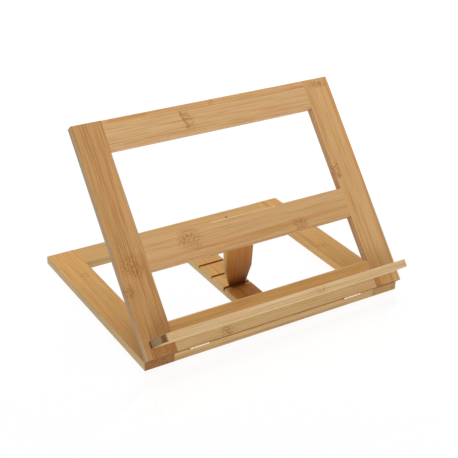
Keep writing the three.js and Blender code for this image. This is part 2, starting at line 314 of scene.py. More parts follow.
def fibreColour(grain, look):
    base = look["tone"]
    contrast = bamboo["fibreContrast"] * look["contrast"]
    shade = (grain["streaks"] - 0.5) * contrast + (grain["stripTone"] - 0.5) * bamboo["stripContrast"] + 0.5
    low, high = bamboo["rampEnds"]
    stops = [(low, shaded(base, bamboo["deep"])), (0.5, base), (high, shaded(base, bamboo["pale"]))]
    colour = shade.node("ShaderNodeValToRGB", {"stops": stops}, {0: shade})
    for cloud in bamboo["clouds"].values():
        mask = grain["hue"].fade(*cloud["span"]) * cloud["strength"]
        colour = blended(mask, colour, cloud["factors"], "MULTIPLY")
    seam = shaded(base, bamboo["seam"])
    colour = blended(grain["dashes"] * bamboo["dashStrength"], colour, seam)
    return blended(grain["seams"] * bamboo["seamStrength"], colour, seam)


def withGrowth(colour, relief, nodes, look, dots):
    # the growth nodes' clouds, dots and lines on the colour and the relief
    base, shares = look["tone"], bamboo["relief"]
    darkTone, lightTone = shaded(base, growth["dark"]), shaded(base, growth["light"])
    dark, light = dots.fade(*growth["darkDots"]), dots.fade(*growth["lightDots"])
    for (cloud, line), spot in zip(nodes, look["marks"]):
        strength = spot["strength"]
        colour = blended(cloud * strength, colour, growth["factors"], "MULTIPLY")
        colour = blended(cloud * dark * strength, colour, darkTone)
        colour = blended(cloud * light * (strength * growth["lightShare"]), colour, lightTone)
        colour = blended(line * spot["line"], colour, darkTone)
        relief = relief + cloud * (light - dark) * shares["dots"] - line * shares["line"]
    return colour, relief


def withGrooves(colour, along, across, through, width, thick, grooves):
    # painted shade inside the rest grooves, a little lighter at their mouths and none at the rail's long
    # edges
    half = grooves["width"] / 2
    steps = (along - grooves["first"]) / grooves["pitch"] + 0.5
    offset = abs(steps.fraction() - 0.5) * grooves["pitch"]
    count, rowSoft = grooves["count"], grooveShade["rowSoft"]
    inRow = steps.fade(-rowSoft, 0.0) * steps.fade(count, count + rowSoft, 1, 0)
    inside = offset.fade(half + grooveShade["lip"][0], half + grooveShade["lip"][1], 1, 0)
    below = through.fade(thick / 2 - grooveShade["mouth"][0], thick / 2 - grooveShade["mouth"][1], 1, grooveShade["mouthShare"])
    above = through.fade(grooves["floor"] - grooveShade["floorSoft"], grooves["floor"])
    between = abs(across).fade(width / 2 - grooveShade["ends"][0], width / 2 - grooveShade["ends"][1], 1, 0)
    return blended(inRow * inside * below * above * between * grooveShade["strength"], colour, grooveShade["shadeTone"])


def bambooBoard(name, place, centre, size, look):
    # size is the board's length, width and thickness; its grain runs along its local x or y
    look = {**bamboo, **look}
    material, shader, start = newMaterial(name)
    length, width, thick = size
    base, seed = look["tone"], look["seed"]
    local = start.node("ShaderNodeMapping", {"vector_type": "TEXTURE"}, {
        "Vector": start, "Location": place @ Vector(centre), "Rotation": place.to_euler()})
    x, y, through = local.node("ShaderNodeSeparateXYZ", None, {0: local}, output=None)
    along, across = (x, y) if look["grain"] == "x" else (y, x)

    # growth nodes push the fibres aside
    nodes = []
    flow = across
    for index, spot in enumerate(look["marks"]):
        cloud, line = growthNode(along, across, spot, seed + growth["seedStep"] * index)
        ripple = growthNoise(growth["rippleScale"], along, across, through, seed) - 0.5
        flow = flow + cloud * ripple * growth["rippleReach"]
        nodes.append((cloud, line))
    grain = fibrePattern(along, across, flow, through, look)
    streaks, shares = grain["streaks"], bamboo["relief"]
    colour = fibreColour(grain, look)
    relief = streaks * shares["streaks"] + grain["fine"] * shares["fine"]
    relief = relief - grain["seams"] * shares["seams"] - grain["dashes"] * shares["dashes"]
    if nodes:
        dots = growthNoise(growth["dotScale"], along, flow, through, seed)
        colour, relief = withGrowth(colour, relief, nodes, look, dots)

    # the long sides get painted light, paler and greyer like a sheen, and the ends show the cut fibres
    sides = blended(look["sideLightShare"], colour, look["sideLightTint"], "MULTIPLY")
    colour = blended(nearEdge(across, width / 2, *bamboo["sideLightReach"]), colour, sides)
    endReach = look["endReach"]
    endMask = nearEdge(along, length / 2, endReach, endReach * bamboo["endSharp"])
    scale = bamboo["endScale"]
    endCells = cells(combined(across * scale, through * scale, along * scale + seed))
    endCells = endCells.fade(*bamboo["endHoles"], 1, 0)
    endTone = shaded(base, look["endTint"])
    ends = blended(endCells * look["dotShare"], endTone, shaded(endTone, bamboo["dotTint"]))
    plainer = grain["stripTone"] * bamboo["endStrips"] + grain["medium"] * bamboo["endFibres"]
    ends = blended(plainer, ends, endTone)
    colour = blended(endMask, colour, ends)

    # places of another tone, such as a dark corner: real stains and tone bars, and also painted shade,
    # painted shadows and painted highlights
    nearFace = nearEdge(through, thick / 2, *bamboo["faceReach"])
    layers = dict(all=1.0, upper=through > 0.0, edge=1.0 - nearFace)
    for patch in look["stainsAndPaintedLight"]:
        mask = within(along, patch["along"], patch["soft"]) * within(across, patch["across"], patch["soft"])
        mask = mask * layers[patch["layer"]]
        colour = blended(mask, colour, patch["tint"], "MULTIPLY")
        if patch["dots"]:
            colour = blended(mask * endCells * patch["dots"], colour, bamboo["dotTint"], "MULTIPLY")
    if "under" in look:
        colour = blended(grain["lower"], colour, look["under"], "MULTIPLY")
    if "grooves" in look:
        colour = withGrooves(colour, along, across, through, width, thick, look["grooves"])

    rough = bamboo["roughness"] + (0.5 - streaks) * bamboo["fibreRoughness"]
    rough = rough + endMask * bamboo["endRoughness"]
    bump = bumped(relief, bamboo["bumpStrength"], bamboo["bump"])
    setInputs(shader, {
        "Base Color": colour, "Roughness": rough, "Normal": bump, "Coat Weight": bamboo["coat"]})
    return material


# Nickel plate: brushed along x, with faint clouds
nickel = dict(
    colour=tone(255, 241, 216), shadow=tone(227, 211, 187), roughness=0.3, brush=(60, 2600, 2600),
    cloudScale=240.0, cloudSpan=(0.3, 0.75), cloudShare=0.35, brushRoughness=0.16, cloudRoughness=0.1,
    bump=0.02 * mm, bumpStrength=0.2,
    pinRoughness=0.2, screwBrush=(900, 900, 900))


def nickelPlate(name, brush=nickel["brush"], roughness=nickel["roughness"]):
    material, shader, start = newMaterial(name)
    brushed = noise(start.node("ShaderNodeVectorMath", {"operation": "MULTIPLY"}, {0: start, 1: brush}))
    enlarged = {0: start, "Scale": nickel["cloudScale"]}
    cloudy = noise(start.node("ShaderNodeVectorMath", {"operation": "SCALE"}, enlarged))
    shadow = cloudy.fade(*nickel["cloudSpan"]) * nickel["cloudShare"]
    brushShare, cloudShare = nickel["brushRoughness"], nickel["cloudRoughness"]
    rough = brushed * brushShare + cloudy * cloudShare + (roughness - (brushShare + cloudShare) / 2)
    bump = bumped(brushed, nickel["bumpStrength"], nickel["bump"])
    colour = blended(shadow, nickel["colour"], nickel["shadow"])
    setInputs(shader, {"Base Color": colour, "Metallic": 1.0, "Roughness": rough, "Normal": bump})
    return material


# Mesh helpers, with their distances and angles in degrees
shaping = dict(
    same=0.001 * mm, near=0.02 * mm, flat=0.4, corner=70, bevelSteps=3, sharp=35,
    cutMerge=0.003 * mm, cutFlat=0.2, roundSteps=24)


def settled(piece):
    # the modifiers' result becomes the piece's own mesh
    result = bpy.data.meshes.new_from_object(piece.evaluated_get(bpy.context.evaluated_depsgraph_get()))
    piece.modifiers.clear()
    piece.data = result


def linked(name, data):
    made = bpy.data.objects.new(name, data)
    bpy.context.scene.collection.objects.link(made)
    return made


def asObject(name, mesh, place=None):
    if place is not None:
        bmesh.ops.transform(mesh, matrix=place, verts=mesh.verts)
    bmesh.ops.recalc_face_normals(mesh, faces=mesh.faces)
    data = bpy.data.meshes.new(name)
    mesh.to_mesh(data)
    mesh.free()
    return linked(name, data)


def finishPiece(piece, material, body, replaced, sharp=shaping["sharp"]):
    # smooth where it is rounded, flat on its faces, and riding with its body
    piece.data.shade_smooth()
    piece.data.set_sharp_from_angle(angle=math.radians(sharp))
    weighted = piece.modifiers.new("flatFaces", "WEIGHTED_NORMAL")
    weighted.keep_sharp = True
    settled(piece)
    piece.data.materials.clear()
    piece.data.materials.append(material)
    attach(piece, body)
    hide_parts(*replaced)


def near(value, *targets):
    return any(abs(value - target) < shaping["near"] for target in targets)


def easedCopy(name, node, place, easingAt, cuts, radius):
    # the CAD board itself; easingAt(point) says how far, from 0 to 1, an edge there is rounded over
    mesh = bmesh.new()
    mesh.from_mesh(frame["nodes"][node].data)
    bmesh.ops.transform(mesh, matrix=place.inverted(), verts=mesh.verts)
    bmesh.ops.remove_doubles(mesh, verts=mesh.verts, dist=shaping["same"])
    flat = math.radians(shaping["flat"])
    bmesh.ops.dissolve_limit(mesh, angle_limit=flat, verts=mesh.verts, edges=mesh.edges)
    for axis, value in cuts:
        normal = Vector((1, 0, 0)) if axis == "x" else Vector((0, 1, 0))
        parts = mesh.verts[:] + mesh.edges[:] + mesh.faces[:]
        bmesh.ops.bisect_plane(
            mesh, geom=parts, dist=shaping["same"], plane_co=normal * value, plane_no=normal)
    weight = mesh.edges.layers.float.new("bevel_weight_edge")
    for edge in mesh.edges:
        if len(edge.link_faces) == 2 and edge.calc_face_angle(0) > math.radians(shaping["corner"]):
            edge[weight] = easingAt((edge.verts[0].co + edge.verts[1].co) / 2)
    board = asObject(name, mesh, place)
    bevel = board.modifiers.new("eased", "BEVEL")
    bevel.limit_method = "WEIGHT"
    bevel.width = radius
    bevel.segments = shaping["bevelSteps"]
    settled(board)
    return board


def arc(centre, radius, start, end, steps):
    turns = [math.radians(start + (end - start) * step / steps) for step in range(steps + 1)]
    return [(centre[0] + radius * math.cos(a), centre[1] + radius * math.sin(a)) for a in turns]


def roundedOutline(half, back, front, corner, steps):
    # square corners at the back and round ones at the front
    right = arc((half - corner, front - corner), corner, 0, 90, steps)
    left = arc((corner - half, front - corner), corner, 90, 180, steps)
    return [(-half, back), (half, back), *right, *left]


def tube(radius, start, end, steps):
    mesh = bmesh.new()
    place = Matrix.Translation(((start + end) / 2, 0, 0)) @ Matrix.Rotation(math.pi / 2, 4, "Y")
    bmesh.ops.create_cone(
        mesh, cap_ends=True, segments=steps, radius1=radius, radius2=radius, depth=end - start, matrix=place)
    return mesh


def turnedShape(profile, axis):
    # a closed round body from (radius, height) pairs, its ends on the axis
    mesh = bmesh.new()
    along = Vector(axis)
    side = Vector((0, 1, 0)) if axis[0] else Vector((1, 0, 0))
    ring = [mesh.verts.new(side * radius + along * height) for radius, height in profile]
    parts = ring + [mesh.edges.new(pair) for pair in zip(ring, ring[1:])]
    bmesh.ops.spin(
        mesh, geom=parts, angle=2 * math.pi, steps=shaping["roundSteps"], axis=axis, cent=(0, 0, 0))
    bmesh.ops.remove_doubles(mesh, verts=mesh.verts, dist=shaping["same"])
    return mesh


def carved(base, tools, operation):
    # base joined with or cut by each tool in turn; the tools are used up
    for tool in tools:
        step = base.modifiers.new("carve", "BOOLEAN")
        step.operation = operation
        step.solver = "MANIFOLD"
        step.object = tool
        settled(base)
        bpy.data.objects.remove(tool)
    # points that the cuts left close together or in line are merged, so every run gives one mesh
    mesh = bmesh.new()
    mesh.from_mesh(base.data)
    merge, flat = shaping["cutMerge"], math.radians(shaping["cutFlat"])
    bmesh.ops.remove_doubles(mesh, verts=mesh.verts, dist=merge)
    bmesh.ops.dissolve_degenerate(mesh, edges=mesh.edges, dist=merge)
    bmesh.ops.dissolve_limit(mesh, angle_limit=flat, verts=mesh.verts, edges=mesh.edges)
    mesh.to_mesh(base.data)
    mesh.free()
    return base


def makeBoards(boards, place, middle, easingAt, cutsOf, body):
    # each board of a frame, with its own bamboo and its edges eased
    for side, cuts in cutsOf.items():
        look = boards[side]
        node = look["node"]
        x, y = (value * mm for value in look["centre"])
        length, width = (value * mm for value in look["size"])
        size = (length, width, stand["thick"])
        material = bambooBoard(f"bamboo_{node}", place, (x, y, middle), size, look)
        piece = easedCopy(f"{node}_board", node, place, easingAt, cuts, boards["easing"])
        finishPiece(piece, material, body, [node])


# Base frame, in millimetres from the middle of its front edge
baseBoards = dict(
    easing=1.0 * mm, crisp=0.3, centreHalf=18 * mm,
    left=dict(
        node="base_left_rail", centre=(-152, 130), size=(260, 36), grain="y",
        # its sides get their own painted light tint, greyer
        stripShift=0.18, seed=3.1, tone=tone(224, 173, 98), sideLightShare=0.9, sideLightTint=(0.68, 0.85, 1.20),
        endTint=(0.39, 0.285, 0.187),
        marks=[mark(at=(66, 5), half=(6, 8), strength=0.35, slope=0.2)],
        stainsAndPaintedLight=[
            stainAndPaintedLight((-131, 131), (6.5, 19), tint=(1.05, 1.06, 1.10), soft=0.4, layer="upper"),
            stainAndPaintedLight((40, 110), (-4, 3), tint=(0.96, 0.94, 0.80), soft=3, layer="upper"),
            stainAndPaintedLight((-60, 40), (-16, -8), tint=(0.98, 0.92, 0.82), soft=3, layer="upper")]),
    right=dict(
        node="base_right_rail", centre=(152, 130), size=(260, 36), grain="y",
        stripShift=0.62, seed=14.1, tone=tone(224, 174, 98), sideLightShare=0.2, endTint=(0.62, 0.61, 0.64),
        marks=[mark(at=(-12, -6), half=(5, 9), strength=0.45, slope=0.1, line=0.1)],
        stainsAndPaintedLight=[
            stainAndPaintedLight((90, 131), (-9, -2), tint=(0.84, 0.80, 0.54), soft=0.8, layer="upper"),
            stainAndPaintedLight((95, 131), (5, 9.5), tint=(1.0, 0.84, 0.70), soft=0.8, layer="upper"),
            stainAndPaintedLight((90, 131), (11, 15), tint=(0.86, 0.90, 0.80), soft=0.8, layer="upper")]),
    front=dict(
        node="base_front_rail", centre=(0, 18), size=(268, 36), grain="x",
        stripShift=0.31, seed=25.1, tone=tone(216, 171, 109), sideLightShare=0.5, under=(0.76, 0.76, 0.72),
        marks=[mark(at=(58, -9), half=(6, 7), strength=0.4, slope=0.1)]),
    back=dict(
        node="base_back_rail", centre=(0, 242), size=(268, 36), grain="x",
        stripShift=0.48, seed=36.1, tone=tone(216, 170, 104), sideLightShare=0.8,
        marks=[mark(at=(-64, -6), half=(6, 8), strength=0.4, slope=0.2)]),
    center=dict(
        node="base_center_rail", centre=(0, 130), size=(188, 36), grain="y",
        # its sides get their own painted light tint, paler and greyer
        stripShift=0.3, seed=47.1, tone=tone(229, 182, 102), sideLightShare=1.0, sideLightTint=(0.765, 0.915, 1.32),
        marks=[mark(at=(76, 2), half=(5, 9), strength=0.4, slope=0.1)],
        stainsAndPaintedLight=[
            # painted shadows: the panel's shadow over the rail's front part, the leg tip's contact shadow
            # and the shade in the third groove under it
            stainAndPaintedLight((-100, -45), (-19, 19), tint=(0.75, 0.56, 0.34), soft=7),
            stainAndPaintedLight((-52, -43), (-14, 14), tint=(0.84, 0.78, 0.76), soft=2, layer="upper"),
            stainAndPaintedLight((-47, -42.6), (-9.5, 9), tint=(0.46, 0.36, 0.25), soft=0.8, layer="upper"),
            stainAndPaintedLight((-43.4, -39.2), (-18.3, 18.3), tint=(0.48, 0.36, 0.25), soft=0.5, layer="upper")],
        grooves=dict(first=-41.3 * mm, pitch=29.3 * mm, count=4, width=3.4 * mm, floor=2 * mm)))


def baseEasing(point):
    # sanded round the outline and round the windows, but not at the glue lines
    board, depth, centre = stand["board"], stand["depth"], baseBoards["centreHalf"]
    x, y, z = abs(point.x), point.y, point.z
    if near(x, stand["halfWidth"]) and near(y, 0, depth):
        return 1
    if not near(z, 0, stand["thick"]):
        return 0
    if near(y, 0):
        return baseBoards["crisp"]
    beside = board - mm < y < depth - board + mm
    outer = near(x, stand["halfWidth"]) or near(y, depth)
    window = beside and near(x, railEnd, centre)
    across = near(y, board, depth - board) and centre < x < railEnd
    return outer or window or across


def makeBase():
    board, depth, half = stand["board"], stand["depth"], baseBoards["centreHalf"]
    sideCuts = [("y", board), ("y", depth - board)]
    railCuts = [("x", -half), ("x", half)]
    cutsOf = dict(left=sideCuts, right=sideCuts, front=railCuts, back=railCuts, center=[])
    makeBoards(baseBoards, basePlace, stand["thick"] / 2, baseEasing, cutsOf, "base")
    print("base frame: five boards")


# Reading panel, in millimetres up its slope from the hinge axis
panelBoards = dict(
    easing=1.1 * mm, crisp=0.3,
    left=dict(
        node="panel_left_stile", centre=(-152, 132.5), size=(265, 36), grain="y",
        stripShift=0.545, seed=71.7, tone=tone(194, 146, 87), contrast=1.5, sideLightShare=1.0,
        # its sides get their own painted light tint, greyer
        sideLightTint=(0.76, 0.89, 1.07),
        marks=[
            mark(at=(-32, 0), half=(12, 14), strength=0.78, slope=0.15),
            mark(at=(-58, -13), half=(7, 7), strength=0.7)],
        stainsAndPaintedLight=[
            stainAndPaintedLight((-134, -121.5), (-11.5, 19), tint=(0.84, 0.74, 0.67), soft=0.7, dots=0.5),
            stainAndPaintedLight((-20, 134), (7, 19), tint=(1.06, 1.08, 1.14), soft=0.3, layer="upper")]),
    right=dict(
        node="panel_right_stile", centre=(152, 132.5), size=(265, 36), grain="y",
        # its sides get their own painted light tint, darker and browner
        stripShift=0.364, seed=84.7, tone=tone(212, 167, 110), sideLightShare=1.0, sideLightTint=(0.80, 0.76, 0.68),
        marks=[
            mark(at=(16, -14), half=(9, 4.5), strength=1, line=0.5),
            mark(at=(125.5, 1), half=(4.5, 13), strength=0.9, slope=0.1, line=0.2)],
        stainsAndPaintedLight=[
            # painted shadow: a dark line in the seam along the stile's foot
            stainAndPaintedLight((-134, -132.1), (-19, 19), tint=(0.42, 0.32, 0.20), soft=0.15),
            stainAndPaintedLight((-134, -122), (-19, -10.5), tint=(0.82, 0.68, 0.52), soft=0.4, dots=0.3),
            stainAndPaintedLight((-134, -121), (4.5, 8), tint=(0.86, 0.76, 0.62), soft=0.4),
            stainAndPaintedLight((10, 134), (12.5, 15.5), tint=(1.04, 0.86, 0.68), soft=0.8, layer="upper")]),
    bottom=dict(
        node="panel_bottom_rail", centre=(0, 17), size=(268, 34), grain="x",
        stripShift=0.9, seed=97.7, tone=tone(220, 173, 104), contrast=0.8, sideLightShare=0.3,
        marks=[mark(at=(-70, -12), half=(9, 6), strength=1, slope=0.2)],
        stainsAndPaintedLight=[
            # painted shadow: a dark line in the seam along the rail's foot
            stainAndPaintedLight((-136, 136), (-18, -16.85), tint=(0.34, 0.23, 0.13), soft=0.08),
            # painted light: the rail's face under the ledge made paler and bluer
            stainAndPaintedLight((-136, 136), (-16.7, -6.1), tint=(0.86, 1.03, 1.5), soft=0.2, layer="upper")]),
    middle=dict(
        node="panel_middle_rail", centre=(0, 107.5), size=(268, 36), grain="x",
        stripShift=0.205, seed=110.7, tone=tone(208, 164, 109), contrast=0.85, sideLightShare=0.3,
        marks=[
            mark(at=(-78, 6), half=(15, 14), strength=0.75, slope=0.1),
            mark(at=(64, -10), half=(9, 7), strength=0.8, slope=0.2, line=0.3)],
        stainsAndPaintedLight=[
            stainAndPaintedLight((-75, 55), (-9.5, -5.5), tint=(0.94, 0.86, 0.72), soft=1.5, layer="upper"),
            stainAndPaintedLight((58, 134), (-8, -5), tint=(0.97, 0.84, 0.66), soft=1, layer="upper"),
            # painted highlight along the rail's top front edge
            stainAndPaintedLight((-45, 40), (16.7, 17.7), tint=(1.35, 1.45, 1.6), soft=0.15, layer="upper")]),
    top=dict(
        node="panel_top_rail", centre=(0, 247), size=(268, 36), grain="x",
        stripShift=0.682, seed=123.7, tone=tone(212, 170, 117), sideLightShare=0.3,
        marks=[
            mark(at=(-31, 0), half=(7, 12), strength=0.75, slope=0.28, line=0.6),
            mark(at=(4, 14), half=(4, 4), strength=0.8)],
        stainsAndPaintedLight=[
            stainAndPaintedLight((-136, 136), (11, 19), tint=(1.0, 0.92, 0.80), soft=1.5),
            stainAndPaintedLight((-126, -80), (13, 17), tint=(0.96, 0.84, 0.68), soft=1, layer="upper")]))


def panelEasing(point):
    # as on the base, and crisp along the foot, where the panel meets the base
    height = stand["panelHeight"]
    x, y, z = abs(point.x), point.y, point.z
    if near(x, stand["halfWidth"]) and near(y, 0, height):
        return 1
    if not near(z, panelBack, panelFront):
        return 0
    if near(y, 0):
        return panelBoards["crisp"]
    windows = stand["panelWindows"]
    beside = near(x, railEnd) and any(low < y < high for low, high in windows)
    outer = near(x, stand["halfWidth"]) or near(y, height)
    across = any(near(y, *window) for window in windows) and x < railEnd
    return outer or beside or across


def makePanel():
    middle = (panelBack + panelFront) / 2
    stileCuts = [("y", value) for window in stand["panelWindows"] for value in window]
    cutsOf = dict(left=stileCuts, right=stileCuts, bottom=[], middle=[], top=[])
    makeBoards(panelBoards, panelPlace, middle, panelEasing, cutsOf, "panel")
    print("reading panel: five boards")


# Screw sizes: head and shank radius, depth of the head, whole length and width of the cross recess
screwForm = dict(head=2.0 * mm, shank=1.0 * mm, sink=1.0 * mm, length=7.5 * mm, slot=0.55 * mm)
ledgeScrews = dict(
    spacing=80 * mm, form=dict(head=3.6 * mm, shank=1.9 * mm, sink=1.9 * mm, length=30 * mm, slot=0.9 * mm))
screwHole = dict(above=0.2 * mm, tipShare=0.8)


def screwRoom(form, point, points):
    # the hole for a flat head screw whose head is level with the point and which points up or down
    play = stand["play"]
    head, shank, length = form["head"] + play, form["shank"] + play, form["length"]
    above, tip = screwHole["above"], length * screwHole["tipShare"]
    profile = [
        (0, -above), (head, -above), (head, 0), (shank, form["sink"]), (shank, tip), (0, length + play)]
    flip = Matrix.Identity(4) if points > 0 else Matrix.Rotation(math.pi, 4, "X")
    return asObject("screwRoom", turnedShape(profile, (0, 0, 1)), Matrix.Translation(point) @ flip)


# Ledge
ledge = dict(
    low=10.8 * mm, thick=8.5 * mm, reach=48 * mm, halfLength=162 * mm, corner=10 * mm, backGap=0.05 * mm,
    easing=1.4 * mm, easingSteps=4, easedFrom=0.1 * mm, arcSteps=14,
    look=dict(
        grain="x", stripShift=0.9, seed=151.2, tone=tone(214, 181, 133), contrast=0.7, sideLightShare=0.0,
        under=(1.08, 1.10, 1.14), endTint=(0.48, 0.43, 0.345), endReach=0.9 * mm,
        marks=[mark(at=(36, 17), half=(7, 5), strength=0.35, slope=0.1)],
        stainsAndPaintedLight=[
            stainAndPaintedLight((-170, -156.8), (12.2, 30), tint=(0.26, 0.16, 0.04), soft=1.3, layer="edge"),
            stainAndPaintedLight((157, 163), (10, 20), tint=(0.85, 0.78, 0.7), soft=0.9, layer="edge"),
            # painted shadow: a dark contact line where the ledge's left end meets the panel
            stainAndPaintedLight((-170, -158), (-20, -15.2), tint=(0.30, 0.16, 0.05), soft=0.8, layer="edge")]))


def ledgeScrewSpots():
    height = ledge["low"] + ledge["thick"] / 2
    return [(step * ledgeScrews["spacing"], height, panelBack) for step in (-1, 0, 1)]


def makeLedge():
    half = ledge["halfLength"]
    back = panelFront + ledge["backGap"]
    front = panelBack + ledge["reach"]
    outline = roundedOutline(half, back, front, ledge["corner"], ledge["arcSteps"])
    low, high = ledge["low"], ledge["low"] + ledge["thick"]
    mesh = bmesh.new()
    rings = [[mesh.verts.new((x, y, z)) for x, z in outline] for y in (low, high)]
    mesh.faces.new(rings[0])
    mesh.faces.new(rings[1])
    for index in range(len(outline)):
        after = (index + 1) % len(outline)
        mesh.faces.new((rings[0][index], rings[0][after], rings[1][after], rings[1][index]))
    eased = [
        edge for edge in mesh.edges
        if near(edge.verts[0].co.y, edge.verts[1].co.y)
        and (edge.verts[0].co.z + edge.verts[1].co.z) / 2 > back + ledge["easedFrom"]]
    bmesh.ops.bevel(
        mesh, geom=eased, offset=ledge["easing"], segments=ledge["easingSteps"], profile=0.5, affect="EDGES")
    holes = [screwRoom(ledgeScrews["form"], spot, 1) for spot in ledgeScrewSpots()]
    board = carved(asObject("ledge_board", mesh), holes, "DIFFERENCE")
    board.data.transform(panelPlace)
    # the ledge's board stands square to the panel, so its own frame is a quarter turn round
    place = panelPlace @ Matrix.Rotation(math.pi / 2, 4, "X")
    centre = (0, (back + front) / 2, -(low + high) / 2)
    size = (2 * half, front - back, high - low)
    material = bambooBoard("bamboo_ledge", place, centre, size, ledge["look"])
    finishPiece(board, material, "panel", ["ledge"])
    print("ledge: one board with rounded corners")


# Prop leg: its patches of tone and painted shade are in millimetres from the board's middle, towards the tip
legBoard = dict(
    easing=0.9 * mm, start=1.3 * mm, inside=0.6 * mm, thinFrom=1.8 * mm, tipHalf=9 * mm, crispTop=1.5 * mm,
    look=dict(
        grain="y", stripShift=0.3, seed=211.9, tone=tone(205, 146, 68), sideLightShare=1.0,
        # its sides get painted light, a pale cream
        sideLightTint=(1.01, 1.25, 1.13), endTint=(1.15, 1.45, 2.5), dotShare=0.2,
        stainsAndPaintedLight=[
            # painted shade, darker towards the leg's tip
            stainAndPaintedLight((10, 70), (-20, 20), tint=(0.70, 0.60, 0.44), soft=20),
            stainAndPaintedLight((38, 70), (-20, 20), tint=(0.32, 0.19, 0.08), soft=10),
            stainAndPaintedLight((-48, -45.5), (-20, -16.8), tint=(0.5, 0.42, 0.28), soft=0.4)]))


def legEasing(point):
    low = -legBoard["inside"]
    onSide = abs(point.x) > legBoard["tipHalf"]
    onFace = near(point.z, low) or point.z > low + legBoard["thinFrom"]
    return point.y > legBoard["start"] + legBoard["crispTop"] and onSide and onFace


def makeLeg():
    back = legPlace.inverted()
    length = max((back @ vertex.co).y for vertex in frame["nodes"]["prop_leg"].data.vertices)
    start = legBoard["start"]
    centre = (0, (start + length) / 2, stand["thick"] / 2 - legBoard["inside"])
    size = (length - start, stand["board"], stand["thick"])
    material = bambooBoard("bamboo_prop_leg", legPlace, centre, size, legBoard["look"])
    piece = easedCopy("prop_leg_board", "prop_leg", legPlace, legEasing, [], legBoard["easing"])
    finishPiece(piece, material, "leg", ["prop_leg"])
    print("prop leg: one tapered board")


# Hinges: radii of the knuckles, their bore and the pin, and the leaves' plates
hinge = dict(
    knuckle=1.5 * mm, bore=1.0 * mm, pin=0.7 * mm, thick=0.9 * mm, count=5, steps=32,
    corner=1.5 * mm, cornerSteps=6, offset=1.45 * mm, screwShare=0.6, screwSpread=0.25,
    dome=0.35 * mm, domeSteps=5, sharp=30, pinSharp=50)
frontHinge = dict(length=24 * mm, depth=11 * mm, x=103.4 * mm)
legHinge = dict(length=30 * mm, depth=12 * mm)


def plateMesh(length, depth, reach, low):
    half = length / 2 - stand["play"] / 2
    outline = roundedOutline(half, 0, depth, hinge["corner"], hinge["cornerSteps"])
    mesh = bmesh.new()
    face = mesh.faces.new([mesh.verts.new((x, y * reach, low)) for x, y in outline])
    made = bmesh.ops.extrude_face_region(mesh, geom=[face])["geom"]
    lifted = [item for item in made if isinstance(item, bmesh.types.BMVert)]
    bmesh.ops.translate(mesh, verts=lifted, vec=(0, 0, hinge["thick"]))
    return mesh


def knuckleSpans(length, first):
    pitch, gap = length / hinge["count"], stand["play"] / 2
    starts = [-length / 2 + index * pitch for index in range(first, hinge["count"], 2)]
    return [(start + gap, start + pitch - gap) for start in starts]


def leafSpots(leaf):
    # its two screws, level with the face that they are driven from
    along = leaf["sizes"]["length"] * hinge["screwSpread"]
    across = leaf["reach"] * leaf["sizes"]["depth"] * hinge["screwShare"]
    return [(-along, across, leaf["face"]), (along, across, leaf["face"])]


def knuckles(length, first, extra):
    # every second knuckle, larger by the extra where it cuts room for the other leaf's
    radius = hinge["knuckle"] + extra
    return [
        asObject("knuckle", tube(radius, start - extra, end + extra, hinge["steps"]))
        for start, end in knuckleSpans(length, first)]


def makeLeaf(leaf):
    # a plate with every second knuckle rolled on its edge, and holes for its two screws
    name, length, first = leaf["name"], leaf["sizes"]["length"], leaf["first"]
    piece = asObject(f"{name}_plate", plateMesh(length, leaf["sizes"]["depth"], leaf["reach"], leaf["low"]))
    piece = carved(piece, knuckles(length, 1 - first, stand["play"]), "DIFFERENCE")
    piece = carved(piece, knuckles(length, first, 0), "UNION")
    bore = asObject("bore", tube(hinge["bore"], -length, length, hinge["steps"]))
    holes = [screwRoom(screwForm, spot, leaf["points"]) for spot in leafSpots(leaf)]
    piece = carved(piece, [bore, *holes], "DIFFERENCE")
    piece.data.transform(leaf["place"])
    finishPiece(piece, metal["leaf"], leaf["body"], [f"{name}_leaf"], hinge["sharp"])


def makePin(node, leaf):
    # a plain pin with domed ends
    half, radius, count = leaf["sizes"]["length"] / 2, hinge["pin"], hinge["domeSteps"]
    turns = [math.radians(90 * step / count) for step in range(count + 1)]
    lower = [(radius * math.sin(a), -half + hinge["dome"] * (1 - math.cos(a))) for a in turns]
    profile = lower + [(distance, -height) for distance, height in reversed(lower)]
    piece = asObject(f"{node}_rod", turnedShape(profile, (1, 0, 0)), leaf["place"])
    finishPiece(piece, metal["pin"], leaf["body"], [node], hinge["pinSharp"])


def hingeLeaves():
    # each leaf with its place, the side that its plate reaches to, the plate's lower face, its first
    # knuckle, and the face that its screws are level with and which way they point
    offset, thick = hinge["offset"], hinge["thick"]
    leaves = []
    for side, x in (("left", -frontHinge["x"]), ("right", frontHinge["x"])):
        shift = Matrix.Translation((x, 0, 0))
        leaves.append(dict(
            name=f"{side}_hinge_base", place=Matrix.Translation(axisAt["panel_tilt"]) @ shift, body="base",
            sizes=frontHinge, reach=1, low=-offset, first=0, face=thick - offset, points=-1,
            pin=f"{side}_hinge_pin"))
        leaves.append(dict(
            name=f"{side}_hinge_panel", place=panelPlace @ shift, body="panel",
            sizes=frontHinge, reach=1, low=offset - thick, first=1, face=offset - thick, points=1))
    level = -thick / 2
    rail = Matrix.Translation(axisAt["leg_swing"]) @ panelPlace.to_3x3().to_4x4()
    leaves.append(dict(
        name="leg_hinge_rail", place=rail, body="panel", sizes=legHinge, reach=-1, low=level, first=0,
        face=level, points=1, pin="leg_hinge_pin"))
    leaves.append(dict(
        name="leg_hinge_leg", place=legPlace, body="leg", sizes=legHinge, reach=1, low=level, first=1,
        face=level, points=1))
    return leaves


def makeHinges():
    for leaf in hingeLeaves():
        makeLeaf(leaf)
        if "pin" in leaf:
            makePin(leaf["pin"], leaf)
    print("hinges: six leaves and three pins")


# Screws: one tree sets a cross head screw at each point of a small mesh, turned to the point's facing
screwShape = dict(
    sides=24, shankShare=0.62, tipShare=0.12, slotLength=1.25, slotDepth=1.4, seed=5, sharp=30)


